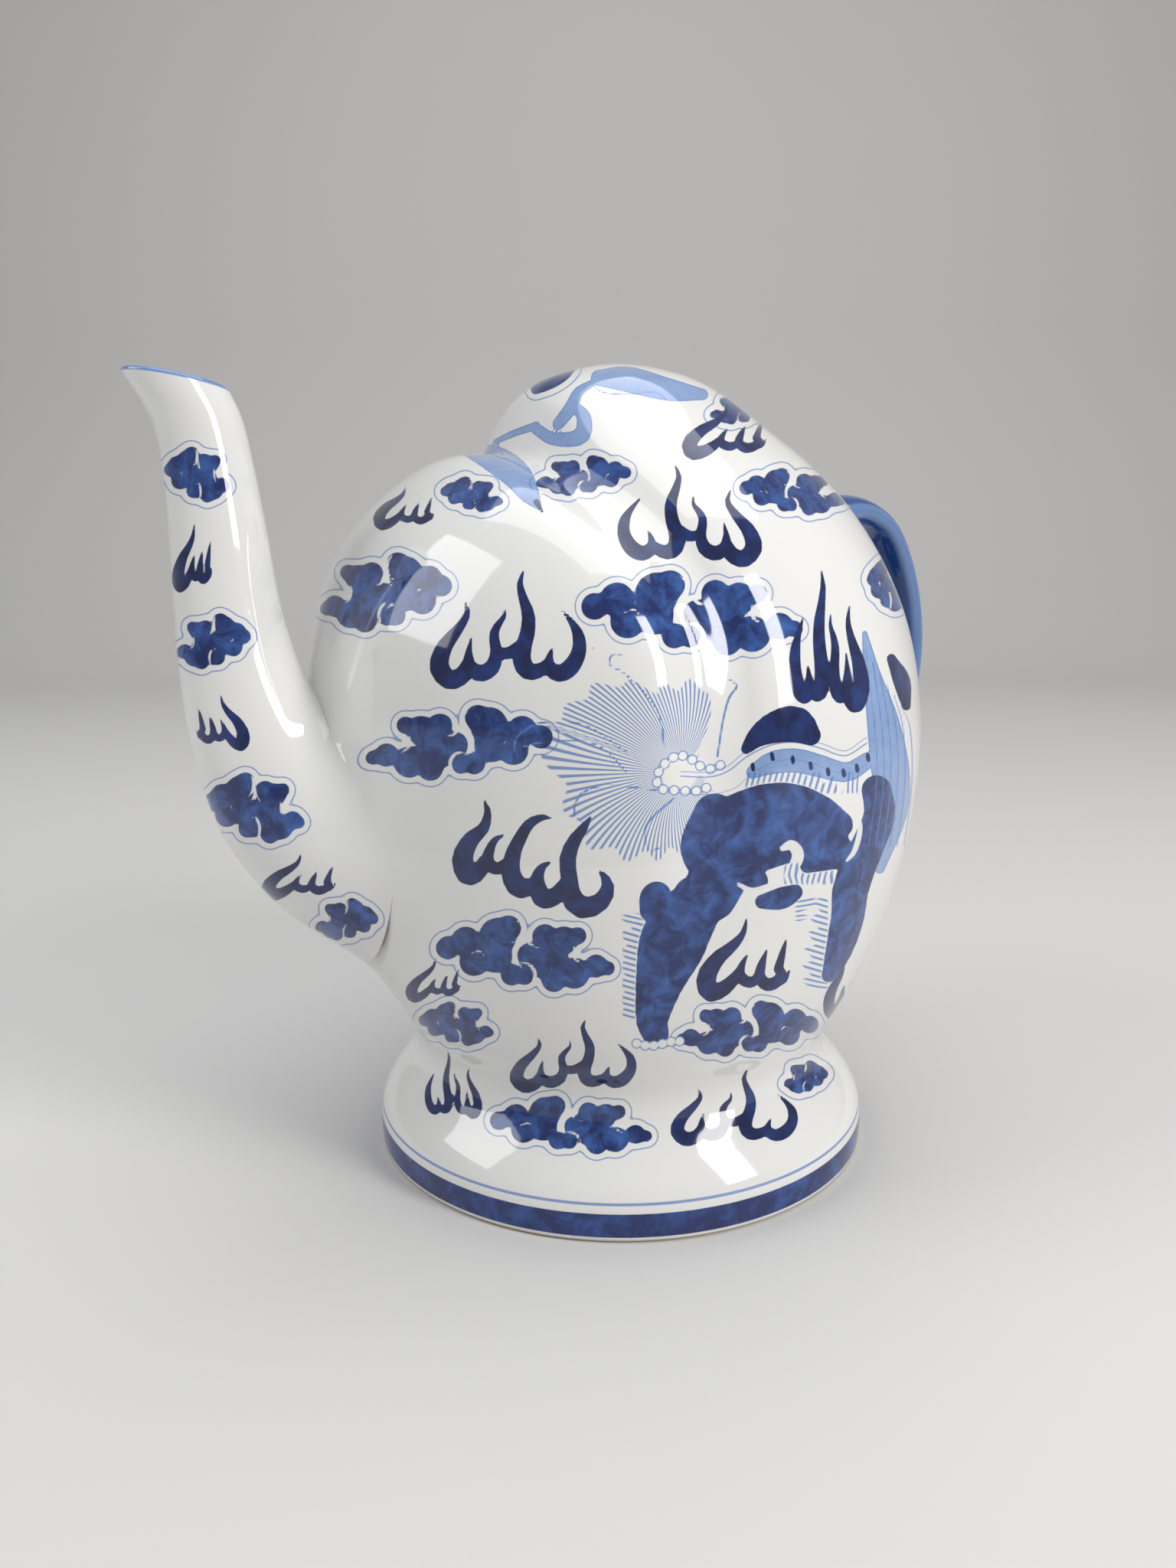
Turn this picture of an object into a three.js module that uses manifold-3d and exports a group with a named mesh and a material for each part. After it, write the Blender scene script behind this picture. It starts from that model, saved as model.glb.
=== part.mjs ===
// A lidless peach-shaped teapot in glazed porcelain, filled through a tube in its base.
// Millimetres, +Z up. The spout points along -X and the handle along +X.
// The origin is under the middle of the whole pot, on the surface that it stands on.
import * as THREE from "three";
import { mergeVertices } from "three/addons/utils/BufferGeometryUtils.js";
import Module from "manifold-3d";

const wasm = await Module();
wasm.setup();

// Driving dimensions
const WALL = 4.2; // thickness of the fruit's wall
const WAIST_RADIUS = 52.5; // where the fruit stands on its foot
const WAIST_Z = 25.5;
const FOOT_RADIUS = 65.5;
const FOOT_BAND_TOP = 8; // top of the foot's upright edge
const FLOOR_SEAT_RADIUS = 43.5; // the floor rests on the foot's shoulder from here outwards
const JOINT = 0.3; // the film of slip between two luted pieces
const CORE_Z = 105; // the fruit's outlines are measured as distances from this point on its axis
const CLEFT_CROWN = 113; // degrees from +X to the bottom of the cleft, at the crown
const CLEFT_FLANK = 102; // and on the flanks
const CLEFT_DEPTH = 5.5;
const CLEFT_WIDTH = 6.5; // degrees
const SPOUT_WALL = 3.2;
const HANDLE_THICKNESS = 8.5;
const HANDLE_WIDTH = 19;
const FLOOR_THICKNESS = 4.5;
const TUBE_TOP = 150; // the filling tube ends this high, under the crown
const TUBE_FOOT_RADIUS = 13; // outside of the filling tube where it leaves the floor
const TUBE_TIP_RADIUS = 7.5;
const TUBE_WALL = 3;
const TUBE_MOUTH_RADIUS = 18; // the funnel under the floor
const CENTRE_X = 9.39; // from the middle of the whole pot to the axis of its foot

// Outline of the handle-side cheek: degrees from +Z, then distance from the core
const TALL_CHEEK = [
  [0, 95],
  [8, 93.6],
  [14, 92],
  [25, 87],
  [35, 84.6],
  [48, 82.2],
  [63, 79.7],
  [78, 77.6],
  [92, 76.8],
  [100, 77],
  [114, 79.2],
  [124, 82.5],
  [130, 85],
  [138, 88.8],
  [144, 92.4],
  [147, 95.7],
  [151.5, 102.4],
  [155.5, 109.9],
  [165, 120],
  [180, 124],
];
// Outline of the spout-side cheek, down to where the two are the same
const SHORT_CHEEK = [
  [0, 83],
  [21, 84.3],
  [40, 85.8],
  [50, 86.1],
  [59, 84.9],
  [68, 83],
  [79, 80.2],
  [92, 77.6],
  [100, 77],
];

// The spout's lower and upper outlines in the plane of the pot, from inside the wall to the lip
const SPOUT_LOWER = [
  [-56, 49],
  [-68, 56.5],
  [-79, 63],
  [-89, 71.5],
  [-97, 82],
  [-103.5, 95],
  [-107.6, 114],
  [-109, 133],
  [-109, 155],
  [-109.2, 174],
  [-111.2, 184],
  [-116, 192.8],
];
const SPOUT_UPPER = [
  [-54, 118],
  [-65, 117.5],
  [-73, 117],
  [-78, 118.5],
  [-80.6, 122],
  [-82.4, 127],
  [-84.6, 136],
  [-86.6, 148],
  [-88.2, 161],
  [-90.2, 175],
  [-91.8, 183.5],
  [-94, 189],
];
// Half of the spout's width across the pot, at the same stations
const SPOUT_HALF_WIDTH = [29, 28, 25.5, 22, 18.5, 15.6, 13, 11.6, 10.8, 10, 9.8, 9.4];

// The handle's centre line in the plane of the pot, from the shoulder to the lower belly
const HANDLE_LINE = [
  [54, 158],
  [64, 163.2],
  [73, 164],
  [81, 160],
  [86.2, 152],
  [90, 141],
  [91.7, 129],
  [91, 117],
  [87.6, 106],
  [81.5, 97],
  [73, 90.5],
  [64, 86],
];

const BODY_STEPS = { around: 48, along: 30 };
const CAVITY_STEPS = { around: 26, along: 14 };

const smoothstep = (low, high, v) => THREE.MathUtils.smoothstep(v, low, high);
const planar = (points) =>
  new THREE.CatmullRomCurve3(
    points.map(([x, z]) => new THREE.Vector3(x, 0, z)),
    false,
    "centripetal",
  );

function solidOf(geometry) {
  const bare = geometry.clone();
  bare.deleteAttribute("normal");
  bare.deleteAttribute("uv");
  const merged = mergeVertices(bare, 1e-4);
  return new wasm.Manifold(
    new wasm.Mesh({
      numProp: 3,
      vertProperties: merged.attributes.position.array,
      triVerts: new Uint32Array(merged.index.array),
    }),
  );
}

function geometryOf(solid) {
  const mesh = solid.getMesh();
  const geometry = new THREE.BufferGeometry();
  geometry.setAttribute("position", new THREE.BufferAttribute(mesh.vertProperties, 3));
  geometry.setIndex(new THREE.BufferAttribute(mesh.triVerts, 1));
  geometry.computeVertexNormals();
  return geometry;
}

// A closed solid through rings of equal length, with a flat fan on each end
function loft(rings) {
  const count = rings[0].length;
  const positions = rings.flat().flatMap((p) => [p.x, p.y, p.z]);
  const faces = [];
  for (let i = 0; i + 1 < rings.length; i++) {
    for (let j = 0; j < count; j++) {
      const a = i * count + j;
      const b = i * count + ((j + 1) % count);
      faces.push(a, b, b + count, a, b + count, a + count);
    }
  }
  const addCap = (ring, first, outward) => {
    const middle = ring.reduce((sum, p) => sum.add(p), new THREE.Vector3());
    middle.divideScalar(count);
    const hub = positions.length / 3;
    positions.push(middle.x, middle.y, middle.z);
    for (let j = 0; j < count; j++) {
      const a = first + j;
      const b = first + ((j + 1) % count);
      faces.push(...(outward ? [a, b, hub] : [b, a, hub]));
    }
  };
  addCap(rings[0], 0, false);
  addCap(rings.at(-1), (rings.length - 1) * count, true);
  const geometry = new THREE.BufferGeometry();
  geometry.setAttribute("position", new THREE.Float32BufferAttribute(positions, 3));
  geometry.setIndex(faces);
  return geometry;
}

// Distance from the core at an angle, by a smooth curve through an outline
function reachAt(outline, degrees) {
  const i = Math.min(
    outline.findIndex(([angle], k) => k > 0 && angle >= degrees) - 1,
    outline.length - 2,
  );
  const at = (k) => outline[THREE.MathUtils.clamp(k, 0, outline.length - 1)];
  const slope = (k) => (at(k + 1)[1] - at(k - 1)[1]) / (at(k + 1)[0] - at(k - 1)[0]);
  const span = at(i + 1)[0] - at(i)[0];
  const t = (degrees - at(i)[0]) / span;
  const rise = at(i + 1)[1] - at(i)[1];
  const lead = slope(i) * span;
  const tail = slope(i + 1) * span;
  const bend = t * (1 - t) * ((1 - t) * (lead - rise) + t * (rise - tail));
  return at(i)[1] + rise * t + bend;
}

// The cleft's own angle from +X, which leans back from the crown to the flanks
function cleftAngle(turn) {
  return CLEFT_FLANK + (CLEFT_CROWN - CLEFT_FLANK) * smoothstep(0.35, 1, Math.cos(turn));
}

// The fruit's distance from its core: angle is from +X, and turn is about that axis, from +Z
function fruitReach(angle, turn) {
  const rise = Math.sin(angle) * Math.cos(turn);
  const fromTop = THREE.MathUtils.radToDeg(Math.acos(THREE.MathUtils.clamp(rise, -1, 1)));
  const tall = reachAt(TALL_CHEEK, fromTop);
  const short = fromTop < 100 ? reachAt(SHORT_CHEEK, fromTop) : tall;
  const past = THREE.MathUtils.radToDeg(angle) - cleftAngle(turn);
  const share = smoothstep(-7, 0.5, past);
  const fade = smoothstep(122, 70, fromTop) * (0.6 + 0.4 * smoothstep(5, 30, fromTop));
  const sink = CLEFT_DEPTH * fade * Math.exp(-((past / CLEFT_WIDTH) ** 2));
  return tall + (short - tall) * share - sink;
}

// A closed solid of the fruit's surface, moved inwards by inset.
// Its rings stand round the X axis, closest together at the cleft, and lie along it.
function fruitGeometry(inset, steps) {
  const rings = [];
  for (let i = 1; i < steps.along; i++) {
    const u = i / steps.along;
    const ring = [];
    for (let j = 0; j < steps.around; j++) {
      const turn = (j / steps.around) * 2 * Math.PI;
      const cleft = cleftAngle(turn);
      const side = 2 * u - 1;
      const spacing = 0.5 * Math.abs(side) + 0.5 * Math.abs(side) ** 1.8;
      const degrees = side < 0 ? cleft * (1 - spacing) : cleft + (180 - cleft) * spacing;
      const angle = THREE.MathUtils.degToRad(degrees);
      // the surface slants to its ray towards the waist, so the wall takes more of the ray there
      const fromCrown = Math.acos(Math.sin(angle) * Math.cos(turn));
      const slant = 1 + 0.9 * smoothstep(1.9, 2.5, fromCrown);
      const reach = fruitReach(angle, turn) - inset * slant;
      ring.push(
        new THREE.Vector3(
          reach * Math.cos(angle),
          reach * Math.sin(angle) * Math.sin(turn),
          CORE_Z + reach * Math.sin(angle) * Math.cos(turn),
        ),
      );
    }
    rings.push(ring.reverse());
  }
  return loft(rings.reverse());
}

// The opening in the bottom of the fruit, which takes the floor
function waistWell() {
  const radius = WAIST_RADIUS - WALL;
  const profile = [
    [0, WAIST_Z - 2],
    [radius, WAIST_Z - 2],
    [radius + 0.5, WAIST_Z + 3],
    [radius + 4, WAIST_Z + 9.5],
    [0, WAIST_Z + 9.5],
  ];
  return solidOf(turned(profile, 48));
}

// Rings of the spout between its two outlines, with its wall taken off by inset
function spoutGeometry(inset, around, along, overrun) {
  const lower = planar(SPOUT_LOWER);
  const upper = planar(SPOUT_UPPER);
  const widths = planar(SPOUT_HALF_WIDTH.map((w, i) => [w, i]));
  const rings = [];
  for (let i = 0; i <= along; i++) {
    const t = i / along;
    const low = lower.getPoint(t);
    const high = upper.getPoint(t);
    const middle = low.clone().add(high).multiplyScalar(0.5);
    const half = high.clone().sub(low).multiplyScalar(0.5);
    const reach = half.length();
    half.multiplyScalar((reach - inset) / reach);
    const across = widths.getPoint(t).x - inset;
    const ring = [];
    for (let j = 0; j < around; j++) {
      const angle = (j / around) * 2 * Math.PI;
      const point = middle.clone().addScaledVector(half, Math.cos(angle));
      point.y = across * Math.sin(angle);
      ring.push(point);
    }
    rings.push(ring);
  }
  if (overrun) {
    // the bore runs on past the lip, so that it cuts clean through
    const last = rings.at(-1);
    const before = rings.at(-2);
    rings.push(last.map((p, j) => p.clone().addScaledVector(p.clone().sub(before[j]), overrun)));
  }
  return loft(rings);
}

// Everything above a height on one side of the plane of the pot, less half of the luted joint
function halfSpace(side, low) {
  const size = 400;
  const box = new THREE.BoxGeometry(size, size, size);
  box.translate(0, side * (size / 2 + JOINT / 2), low + size / 2);
  return solidOf(box);
}

function handleGeometry() {
  const line = planar(HANDLE_LINE);
  const rings = [];
  const along = 20;
  const around = 16;
  for (let i = 0; i <= along; i++) {
    const t = i / along;
    const middle = line.getPointAt(t);
    const tangent = line.getTangentAt(t);
    const normal = new THREE.Vector3(tangent.z, 0, -tangent.x);
    // the strap spreads where it meets the fruit
    const spread = 1 + 0.35 * (smoothstep(0.75, 1, t) + smoothstep(0.25, 0, t) * 0.8);
    const ring = [];
    for (let j = 0; j < around; j++) {
      const angle = (j / around) * 2 * Math.PI;
      const point = middle
        .clone()
        .addScaledVector(normal, (HANDLE_THICKNESS / 2) * spread * Math.cos(angle));
      point.y = (HANDLE_WIDTH / 2) * spread * Math.sin(angle);
      ring.push(point);
    }
    rings.push(ring);
  }
  return loft(rings);
}

function turned(profile, segments) {
  const geometry = new THREE.LatheGeometry(
    profile.map(([r, z]) => new THREE.Vector2(r, z)),
    segments,
  );
  return geometry.rotateX(Math.PI / 2);
}

// The flared foot: an open skirt that stands on a bare flat rim
function footGeometry() {
  const top = WAIST_Z - JOINT;
  const outside = new THREE.SplineCurve([
    new THREE.Vector2(FOOT_RADIUS, FOOT_BAND_TOP),
    new THREE.Vector2(FOOT_RADIUS - 2.6, 14),
    new THREE.Vector2(FOOT_RADIUS - 6, 18.6),
    new THREE.Vector2(FOOT_RADIUS - 10.5, 22.6),
    new THREE.Vector2(WAIST_RADIUS, top),
  ]).getPoints(9);
  const inside = new THREE.SplineCurve([
    new THREE.Vector2(FLOOR_SEAT_RADIUS, top),
    new THREE.Vector2(FLOOR_SEAT_RADIUS + 0.6, 21.5),
    new THREE.Vector2(FOOT_RADIUS - 12, 14),
    new THREE.Vector2(FOOT_RADIUS - 8, 7),
    new THREE.Vector2(FOOT_RADIUS - 6.6, 0),
  ]).getPoints(5);
  const profile = [
    ...inside.map((p) => [p.x, p.y]),
    [FOOT_RADIUS - 1, 0],
    [FOOT_RADIUS - 0.2, 0.8],
    [FOOT_RADIUS, 2.4],
    ...outside.map((p) => [p.x, p.y]),
  ];
  profile.push(profile[0]);
  return turned(profile, 56);
}

// The floor of the fruit, let into the waist, with a hole for the filling tube
function floorGeometry() {
  const rim = WAIST_RADIUS - WALL - 5 * JOINT;
  const hole = TUBE_FOOT_RADIUS + JOINT;
  const low = WAIST_Z;
  const profile = [
    [hole, low],
    [rim, low],
    [rim, low + FLOOR_THICKNESS],
    [rim * 0.6, low + FLOOR_THICKNESS + 1.2],
    [hole, low + FLOOR_THICKNESS + 1.6],
  ];
  profile.push(profile[0]);
  return turned(profile, 56);
}

// The filling tube: a funnel under the floor, a collar and a tapering pipe up to the crown
function tubeGeometry() {
  const low = WAIST_Z - JOINT;
  const outside = new THREE.SplineCurve([
    new THREE.Vector2(TUBE_FOOT_RADIUS, low),
    new THREE.Vector2(TUBE_FOOT_RADIUS, low + 9),
    new THREE.Vector2(TUBE_FOOT_RADIUS - 2.6, low + 28),
    new THREE.Vector2(TUBE_TIP_RADIUS + 1, low + 75),
    new THREE.Vector2(TUBE_TIP_RADIUS, TUBE_TOP),
  ]).getPoints(7);
  const flare = [
    [TUBE_MOUTH_RADIUS, low - 3],
    [TUBE_MOUTH_RADIUS, low],
  ];
  const bore = outside.map((p) => [p.x - TUBE_WALL, p.y]).reverse();
  const profile = [
    ...bore,
    [TUBE_MOUTH_RADIUS - TUBE_WALL, low - 3],
    ...flare,
    ...outside.map((p) => [p.x, p.y]),
  ];
  profile.push(profile[0]);
  return turned(profile, 24);
}

const glaze = new THREE.MeshStandardMaterial({
  color: 0xe9ebe8,
  roughness: 0.12,
  metalness: 0,
});
const cobalt = new THREE.MeshStandardMaterial({
  color: 0x1d4f9c,
  roughness: 0.12,
  metalness: 0,
});
const biscuit = new THREE.MeshStandardMaterial({
  color: 0xdcd6c8,
  roughness: 0.75,
  metalness: 0,
});

const pot = new THREE.Group();
pot.position.x = CENTRE_X;

function addPiece(name, solid, material) {
  const mesh = new THREE.Mesh(geometryOf(solid), material);
  mesh.name = name;
  pot.add(mesh);
}

const outer = solidOf(fruitGeometry(0, BODY_STEPS));
const cavity = solidOf(fruitGeometry(WALL, CAVITY_STEPS));
const clearOfFruit = solidOf(fruitGeometry(-JOINT, BODY_STEPS));
const spoutBore = solidOf(spoutGeometry(SPOUT_WALL, 14, 16, 2));
const spoutShell = solidOf(spoutGeometry(0, 24, 20, 0)).subtract(clearOfFruit).subtract(spoutBore);
const fruitShell = outer.subtract(cavity).subtract(waistWell()).subtract(spoutBore);

const sides = { front: -1, back: 1 };
for (const [side, sign] of Object.entries(sides)) {
  addPiece(`body_${side}_half`, fruitShell.intersect(halfSpace(sign, WAIST_Z)), glaze);
  addPiece(`spout_${side}_half`, spoutShell.intersect(halfSpace(sign, 0)), glaze);
}
addPiece("handle", solidOf(handleGeometry()).subtract(clearOfFruit), cobalt);
addPiece("foot_ring", solidOf(footGeometry()), glaze);
addPiece("floor_plate", solidOf(floorGeometry()), biscuit);
addPiece("filling_tube", solidOf(tubeGeometry()), biscuit);

export default pot;
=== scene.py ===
"""Blue and white peach-shaped teapot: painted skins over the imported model."""

import math

import bpy
import numpy as np
from mathutils import Matrix, Vector
from mathutils.bvhtree import BVHTree


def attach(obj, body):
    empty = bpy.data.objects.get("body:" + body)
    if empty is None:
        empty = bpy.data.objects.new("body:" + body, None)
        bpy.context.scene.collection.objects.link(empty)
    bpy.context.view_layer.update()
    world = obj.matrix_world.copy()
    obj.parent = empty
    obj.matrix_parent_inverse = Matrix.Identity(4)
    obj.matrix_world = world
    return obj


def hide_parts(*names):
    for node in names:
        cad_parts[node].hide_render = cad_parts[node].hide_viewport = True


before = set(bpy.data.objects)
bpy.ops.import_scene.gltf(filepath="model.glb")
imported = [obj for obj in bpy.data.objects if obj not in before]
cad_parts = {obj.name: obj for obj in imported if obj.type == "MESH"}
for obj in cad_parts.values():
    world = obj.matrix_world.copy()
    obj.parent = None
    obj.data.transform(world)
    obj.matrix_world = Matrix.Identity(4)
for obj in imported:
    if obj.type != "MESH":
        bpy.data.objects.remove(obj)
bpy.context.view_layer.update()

MM = 0.001
CENTRE_X = 9.39  # mm, from the middle of the whole pot to the axis of its foot
CORE_Z = 105.0
WALL = 4.2
SPOUT_WALL = 3.2
HANDLE_THICKNESS = 8.5
HANDLE_WIDTH = 19.0
FOOT_RADIUS = 65.5
CLEFT_CROWN = 113.0
CLEFT_FLANK = 102.0
CLEFT_DEPTH = 5.5
CLEFT_WIDTH = 6.5

TALL_CHEEK = [
    (0, 95), (8, 93.6), (14, 92), (25, 87), (35, 84.6), (48, 82.2), (63, 79.7), (78, 77.6),
    (92, 76.8), (100, 77), (114, 79.2), (124, 82.5), (130, 85), (138, 88.8), (144, 92.4),
    (147, 95.7), (151.5, 102.4), (155.5, 109.9), (165, 120), (180, 124),
]
SHORT_CHEEK = [
    (0, 83), (21, 84.3), (40, 85.8), (50, 86.1), (59, 84.9), (68, 83), (79, 80.2), (92, 77.6),
    (100, 77),
]
SPOUT_LOWER = [
    (-56, 49), (-68, 56.5), (-79, 63), (-89, 71.5), (-97, 82), (-103.5, 95), (-107.6, 114),
    (-109, 133), (-109, 155), (-109.2, 174), (-111.2, 184), (-116, 192.8),
]
SPOUT_UPPER = [
    (-54, 118), (-65, 117.5), (-73, 117), (-78, 118.5), (-80.6, 122), (-82.4, 127),
    (-84.6, 136), (-86.6, 148), (-88.2, 161), (-90.2, 175), (-91.8, 183.5), (-94, 189),
]
SPOUT_HALF_WIDTH = [29, 28, 25.5, 22, 18.5, 15.6, 13, 11.6, 10.8, 10, 9.8, 9.4]
HANDLE_LINE = [
    (54, 158), (64, 163.2), (73, 164), (81, 160), (86.2, 152), (90, 141), (91.7, 129), (91, 117),
    (87.6, 106), (81.5, 97), (73, 90.5), (64, 86),
]

# Camera
YAW_TO_POT = math.radians(27.0)
FOCAL_PX = 1580.0
IMAGE_HEIGHT_PX = 2048.0
CAMERA_HEIGHT = 156.6
CAMERA_DISTANCE = 314.8
PITCH = math.radians(11.29)
YAW = math.radians(-1.45)
ROLL = -0.01
IMAGE_WIDTH_PX = 1536.0
DISPLAY = 1500.0 / IMAGE_WIDTH_PX  # motif positions are written for a picture 1500 wide


def to_pot(v):
    c, s = math.cos(YAW_TO_POT), math.sin(YAW_TO_POT)
    return np.array([v[0] * c + v[1] * s, -v[0] * s + v[1] * c, v[2]])


CAM_POS = to_pot([0, -CAMERA_DISTANCE, CAMERA_HEIGHT])
_fwd = [math.sin(YAW) * math.cos(PITCH), math.cos(YAW) * math.cos(PITCH), -math.sin(PITCH)]
CAM_FWD = to_pot(_fwd)
_right = to_pot([math.cos(YAW), -math.sin(YAW), 0])
_up = np.cross(_right, CAM_FWD)
CAM_RIGHT = math.cos(ROLL) * _right + math.sin(ROLL) * _up
CAM_UP = -math.sin(ROLL) * _right + math.cos(ROLL) * _up


def picture(points):
    """Where points of the pot, in mm, fall on a picture 1500 wide seen from the camera."""
    d = points - CAM_POS
    depth = d @ CAM_FWD
    px = IMAGE_WIDTH_PX / 2 + FOCAL_PX * (d @ CAM_RIGHT) / depth
    py = IMAGE_HEIGHT_PX / 2 - FOCAL_PX * (d @ CAM_UP) / depth
    return np.stack([px, py], -1) * DISPLAY


# Curves
def smoothstep(low, high, v):
    t = np.clip((np.asarray(v, float) - low) / (high - low), 0, 1)
    return t * t * (3 - 2 * t)


def hermite(xs, ys, x):
    """A smooth curve through points, with slopes from their neighbours."""
    xs, ys = np.asarray(xs, float), np.asarray(ys, float)
    if ys.ndim == 1:
        ys = ys[:, None]
    m = np.empty_like(ys)
    m[1:-1] = (ys[2:] - ys[:-2]) / (xs[2:] - xs[:-2])[:, None]
    m[0] = (ys[1] - ys[0]) / (xs[1] - xs[0])
    m[-1] = (ys[-1] - ys[-2]) / (xs[-1] - xs[-2])
    x = np.asarray(x, float)
    i = np.clip(np.searchsorted(xs, x) - 1, 0, len(xs) - 2)
    h = xs[i + 1] - xs[i]
    t = ((x - xs[i]) / h)[..., None]
    h = h[..., None]
    a, b = ys[i], ys[i + 1]
    out = (
        a * (1 + 2 * t) * (1 - t) ** 2
        + m[i] * h * t * (1 - t) ** 2
        + b * t * t * (3 - 2 * t)
        + m[i + 1] * h * t * t * (t - 1)
    )
    return out


def through(points, t):
    """Points of a smooth path at shares t of its stations."""
    n = len(points)
    return hermite(np.arange(n), points, np.asarray(t) * (n - 1))


def outline(table, degrees):
    xs, ys = zip(*table)
    return hermite(xs, ys, degrees)[..., 0]


def fruit_reach(angle, turn):
    rise = np.sin(angle) * np.cos(turn)
    top = np.degrees(np.arccos(np.clip(rise, -1, 1)))
    tall = outline(TALL_CHEEK, top)
    short = np.where(top < 100, outline(SHORT_CHEEK, np.minimum(top, 100)), tall)
    lean = smoothstep(0.35, 1, np.cos(turn))
    past = np.degrees(angle) - (CLEFT_FLANK + (CLEFT_CROWN - CLEFT_FLANK) * lean)
    share = smoothstep(-7, 0.5, past)
    fade = smoothstep(0, 1, (122 - top) / 52) * (0.6 + 0.4 * smoothstep(5, 30, top))
    sink = CLEFT_DEPTH * fade * np.exp(-((past / CLEFT_WIDTH) ** 2))
    return tall + (short - tall) * share - sink


def fruit_point(direction, inset=0.0):
    """Point of the fruit's surface in a direction from its core."""
    n = direction / np.linalg.norm(direction, axis=-1, keepdims=True)
    angle = np.arccos(np.clip(n[..., 0], -1, 1))
    turn = np.arctan2(n[..., 1], n[..., 2])
    top = np.arccos(np.clip(n[..., 2], -1, 1))
    reach = fruit_reach(angle, turn) - inset * (1 + 0.9 * smoothstep(1.9, 2.5, top))
    return n * reach[..., None] + np.array([0, 0, CORE_Z])


# Painted marks
def capsules(p, path, radii):
    """Signed distance to a stroke whose width changes along its path."""
    path = np.asarray(path, float)
    radii = np.asarray(radii, float)
    best = np.full(len(p), 1e9)
    for a, b, ra, rb in zip(path[:-1], path[1:], radii[:-1], radii[1:]):
        ab = b - a
        t = np.clip(((p - a) @ ab) / max(ab @ ab, 1e-9), 0, 1)
        d = np.linalg.norm(p - (a + t[:, None] * ab), axis=1) - (ra + (rb - ra) * t)
        best = np.minimum(best, d)
    return best


def curve(path, radii, n=14):
    t = np.linspace(0, 1, n)
    return through(path, t), through(radii, t)[..., 0]


# A flame as it stands in the box below: strokes of points with their half widths
FLAME_BOX = (553, 733, 747, 878)
FLAME = [
    ([(592, 765), (596, 783), (584, 803), (567, 825), (560, 850), (573, 867), (589, 862),
      (597, 848)], [1, 3.5, 6, 9, 11, 11, 10, 8]),
    ([(601, 814), (598, 832), (598, 850)], [1, 4, 8]),
    ([(598, 850), (612, 859), (627, 852), (633, 834), (630, 810), (636, 796), (643, 786),
      (643, 774)], [8, 9.5, 9, 7, 5.5, 4, 2.5, 1]),
    ([(633, 832), (649, 833), (663, 824)], [6, 7, 7]),
    ([(668, 728), (663, 745), (668, 765), (674, 785), (673, 806), (667, 828), (666, 845),
      (674, 856), (686, 856), (698, 849)], [1, 3.5, 5.5, 7.5, 8.5, 9.5, 10.5, 10, 8.5, 7]),
    ([(705, 826), (701, 838), (700, 850)], [1, 4, 7]),
    ([(698, 850), (712, 859), (727, 852), (738, 833), (738, 812), (730, 795), (716, 777)],
     [8, 9.5, 10, 8.5, 7, 4, 1]),
]
LEANING_BOX = (578, 1018, 782, 1168)
LEANING_FLAME = [
    ([(617, 1020), (622, 1036), (617, 1056), (600, 1072), (590, 1095), (596, 1115), (609, 1113),
      (617, 1099)], [1, 4, 6.5, 9.5, 12, 12, 10, 7]),
    ([(643, 1065), (632, 1071), (625, 1083), (622, 1099), (633, 1108), (648, 1100)],
     [1, 3.5, 5.5, 7.5, 7, 6]),
    ([(704, 1043), (690, 1043), (675, 1051), (663, 1070), (654, 1091), (652, 1115), (662, 1132),
      (681, 1130)], [1, 4, 6, 7.5, 9, 11, 12, 9]),
    ([(701, 1100), (690, 1108), (685, 1125), (692, 1145), (708, 1143), (719, 1130)],
     [1.5, 5, 8.5, 11.5, 10, 8]),
    ([(754, 1041), (745, 1055), (731, 1075), (724, 1096), (726, 1120), (729, 1145), (745, 1158),
      (765, 1151), (775, 1135), (772, 1120), (764, 1111)],
     [1, 5, 8, 9.5, 9.5, 12, 12.5, 10.5, 8, 5, 1.5]),
]
DROP_BOX = (888, 1172, 1012, 1282)
DROP_FLAME = [
    ([(952, 1172), (948, 1190), (935, 1206), (915, 1223), (901, 1246), (905, 1265), (921, 1262),
      (935, 1250), (943, 1239)], [1, 3.5, 6, 8.5, 11, 11, 9, 7, 5]),
    ([(953, 1218), (946, 1232), (944, 1245), (956, 1253), (968, 1247)], [1, 4, 6.5, 6.5, 5]),
    ([(978, 1212), (972, 1229), (969, 1246), (979, 1256), (992, 1251), (997, 1240)],
     [1, 4.5, 6.5, 7.5, 6.5, 5]),
    ([(1003, 1198), (998, 1216), (993, 1236)], [1, 3.5, 5.5]),
    ([(1007, 1238), (1001, 1249), (994, 1252)], [1, 3.5, 5]),
]
FORMS = {
    "upright": (FLAME_BOX, FLAME),
    "leaning": (LEANING_BOX, LEANING_FLAME),
    "drop": (DROP_BOX, DROP_FLAME),
}
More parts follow.
